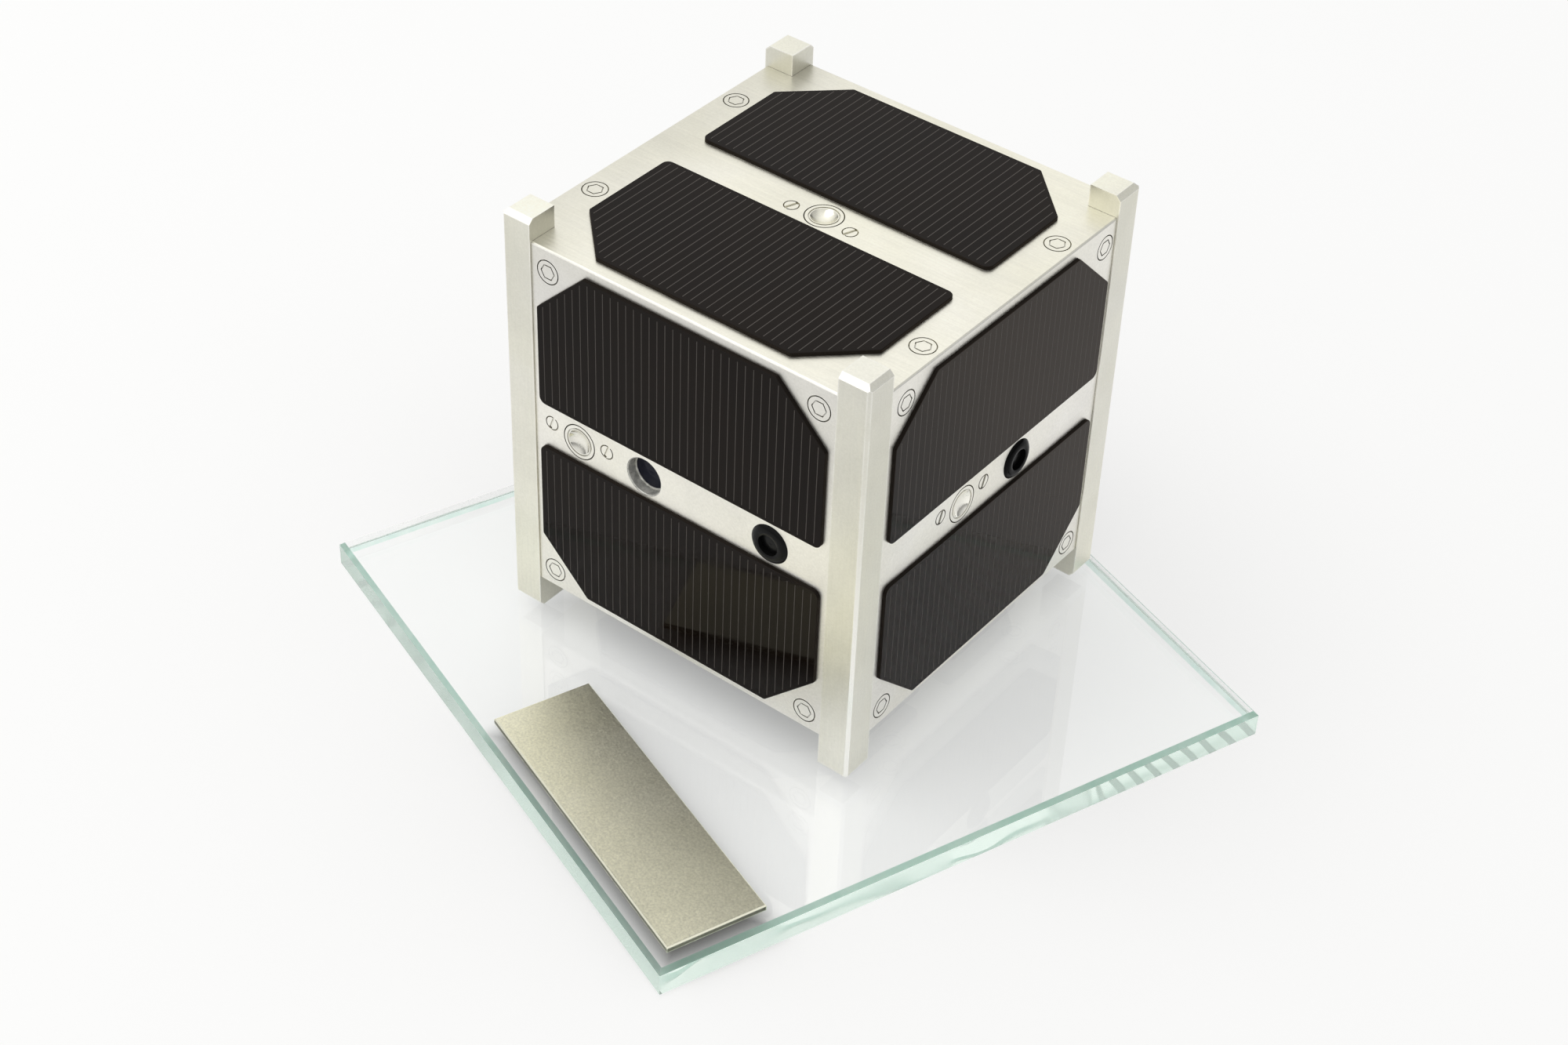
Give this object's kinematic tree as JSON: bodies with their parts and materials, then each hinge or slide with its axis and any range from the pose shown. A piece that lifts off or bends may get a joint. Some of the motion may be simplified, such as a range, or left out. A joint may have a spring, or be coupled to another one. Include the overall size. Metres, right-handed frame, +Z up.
{
  "type": "display model of a cube satellite on a glass plinth",
  "caption": "Full-size display model of a small cube satellite with corner rails, dark solar cells and flush screws, standing on a clear square glass plinth with a blank metal name plate.",
  "frame": {"origin": "middle of the underside of the glass plinth", "axes": "+Z up, X and Y along the sides of the cube: -Y is the face with the camera and a port, +X is the face with one port; the plinth is turned about Z from these"},
  "size_m": [0.2058, 0.2058, 0.1186],
  "materials": {
    "clear_glass": "clear polished float glass with green cut edges",
    "nickel_plate": "brushed, pale champagne colour, bright bevelled rim",
    "rail_aluminium": "satin, fine milled grain",
    "plate_aluminium": "satin, fine bead-blasted and brushed",
    "trim_aluminium": "satin, turned",
    "solar_cell": "glossy brown-black with fine parallel lines",
    "black_ring": "satin black",
    "port_glass": "glossy black",
    "camera_glass": "glossy, dark blue coated"
  },
  "bodies": {
    "root": {"back_cell_lower": "solar_cell", "back_cell_upper": "solar_cell", "back_plate": "plate_aluminium", "back_screws": "trim_aluminium", "back_sensor_screws": "trim_aluminium", "back_sun_sensor": "trim_aluminium", "bottom_cell_back": "solar_cell", "bottom_cell_front": "solar_cell", "bottom_plate": "plate_aluminium", "bottom_screws": "trim_aluminium", "bottom_sensor_screws": "trim_aluminium", "bottom_sun_sensor": "trim_aluminium", "front_camera_lens": "camera_glass", "front_cell_lower": "solar_cell", "front_cell_upper": "solar_cell", "front_plate": "plate_aluminium", "front_port_glass": "port_glass", "front_port_ring": "black_ring", "front_screws": "trim_aluminium", "front_sensor_screws": "trim_aluminium", "front_sun_sensor": "trim_aluminium", "glass_plinth": "clear_glass", "left_cell_lower": "solar_cell", "left_cell_upper": "solar_cell", "left_plate": "plate_aluminium", "left_screws": "trim_aluminium", "left_sensor_screws": "trim_aluminium", "left_sun_sensor": "trim_aluminium", "name_plate": "nickel_plate", "rail_back_left": "rail_aluminium", "rail_back_right": "rail_aluminium", "rail_front_left": "rail_aluminium", "rail_front_right": "rail_aluminium", "right_cell_lower": "solar_cell", "right_cell_upper": "solar_cell", "right_plate": "plate_aluminium", "right_port_glass": "port_glass", "right_port_ring": "black_ring", "right_screws": "trim_aluminium", "right_sensor_screws": "trim_aluminium", "right_sun_sensor": "trim_aluminium", "top_cell_back": "solar_cell", "top_cell_front": "solar_cell", "top_plate": "plate_aluminium", "top_screws": "trim_aluminium", "top_sensor_screws": "trim_aluminium", "top_sun_sensor": "trim_aluminium"}
  },
  "joints": []
}
